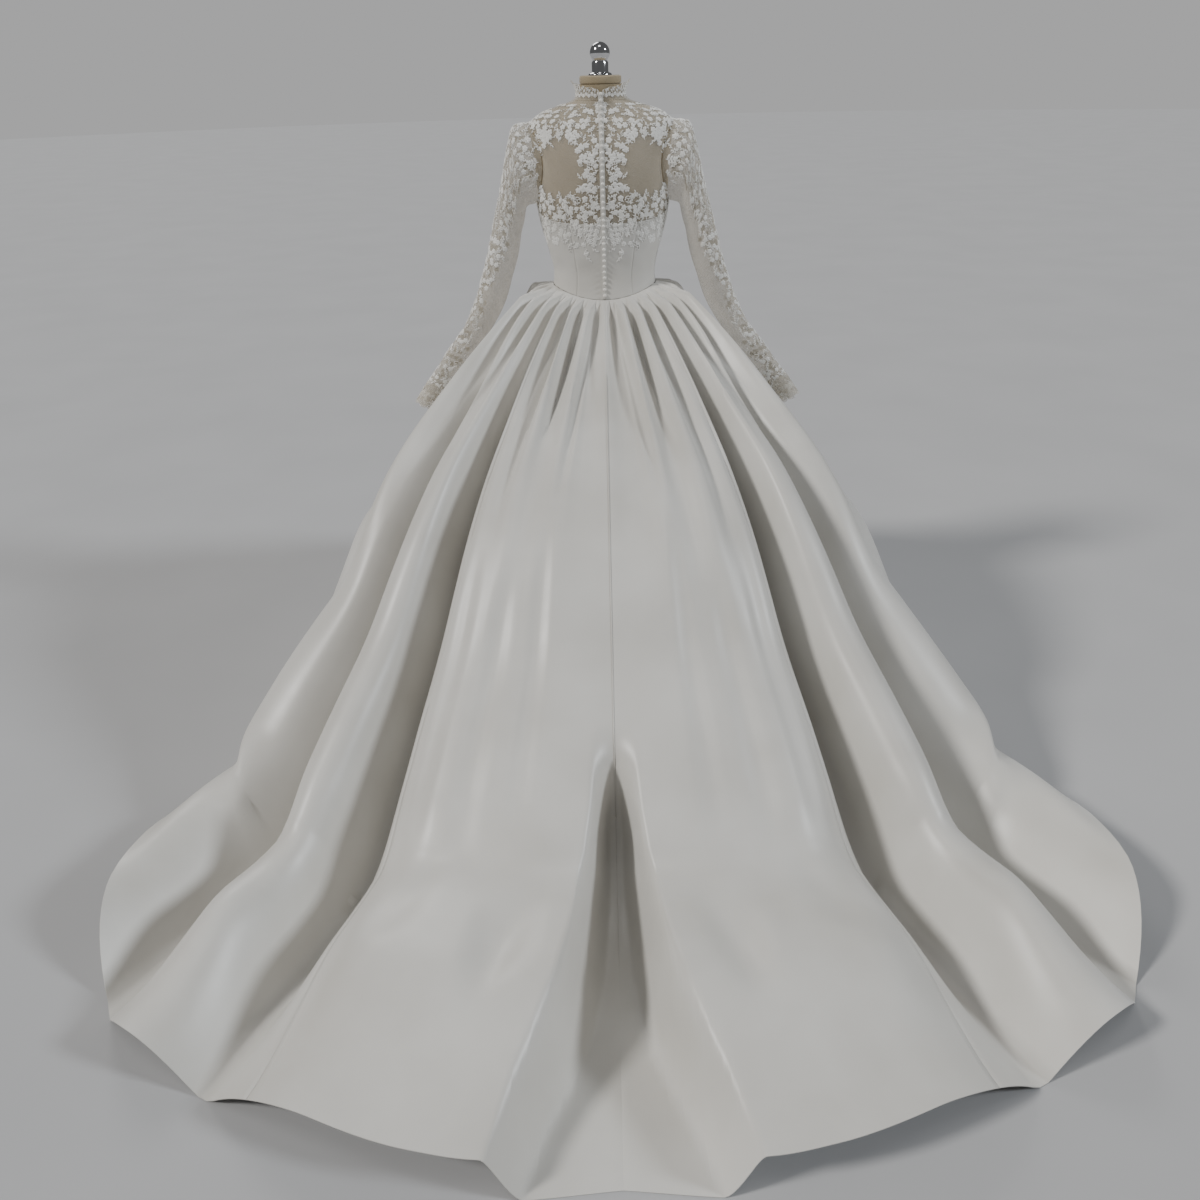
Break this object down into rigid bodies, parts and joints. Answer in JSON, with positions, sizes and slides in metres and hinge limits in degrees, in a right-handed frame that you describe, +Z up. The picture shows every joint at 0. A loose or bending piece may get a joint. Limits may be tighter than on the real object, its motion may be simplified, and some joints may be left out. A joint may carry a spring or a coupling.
{
  "type": "wedding dress on a limbless dress form",
  "caption": "Long-sleeved satin ball gown with a sheer lace yoke, buttoned back and spread train, standing on a limbless dress form.",
  "frame": {"origin": "centre of the stand's flat underside, on the floor", "axes": "+Z up, -Y towards the front of the dress, +Y along the train, +X towards the wearer's left"},
  "size_m": [2.0406, 2.593, 1.6208],
  "materials": {
    "satin": "ivory satin with a broad soft sheen",
    "net": "sheer fine tan net",
    "lace": "corded floral lace, off-white",
    "pearl": "pearl buttons",
    "form_cloth": "tan jersey cover",
    "chrome": "polished",
    "stand_metal": "black, semi-gloss"
  },
  "bodies": {
    "root": {"bodice_front": "satin", "bodice_side_left": "satin", "bodice_side_right": "satin", "bodice_back_left": "satin", "bodice_back_right": "satin", "placket": "satin", "skirt_front": "satin", "skirt_side_front_left": "satin", "skirt_side_front_right": "satin", "skirt_side_back_left": "satin", "skirt_side_back_right": "satin", "skirt_back_left": "satin", "skirt_back_right": "satin", "yoke_front": "net", "yoke_back_left": "net", "yoke_back_right": "net", "sleeve_left": "net", "sleeve_right": "net", "collar_left": "lace", "collar_right": "lace", "cuff_left": "lace", "cuff_right": "lace", "button_01": "pearl", "button_02": "pearl", "button_03": "pearl", "button_04": "pearl", "button_05": "pearl", "button_06": "pearl", "button_07": "pearl", "button_08": "pearl", "button_09": "pearl", "button_10": "pearl", "button_11": "pearl", "button_12": "pearl", "button_13": "pearl", "button_14": "pearl", "button_15": "pearl", "button_16": "pearl", "button_17": "pearl", "button_18": "pearl", "button_19": "pearl", "button_20": "pearl", "button_21": "pearl", "button_22": "pearl", "button_23": "pearl", "button_24": "pearl", "button_25": "pearl", "button_26": "pearl", "button_27": "pearl", "button_28": "pearl", "button_29": "pearl", "button_30": "pearl", "button_31": "pearl", "button_32": "pearl", "form_torso": "form_cloth", "form_neck_cap": "form_cloth", "form_knob": "chrome", "form_pole": "stand_metal", "form_base": "stand_metal"}
  },
  "joints": []
}
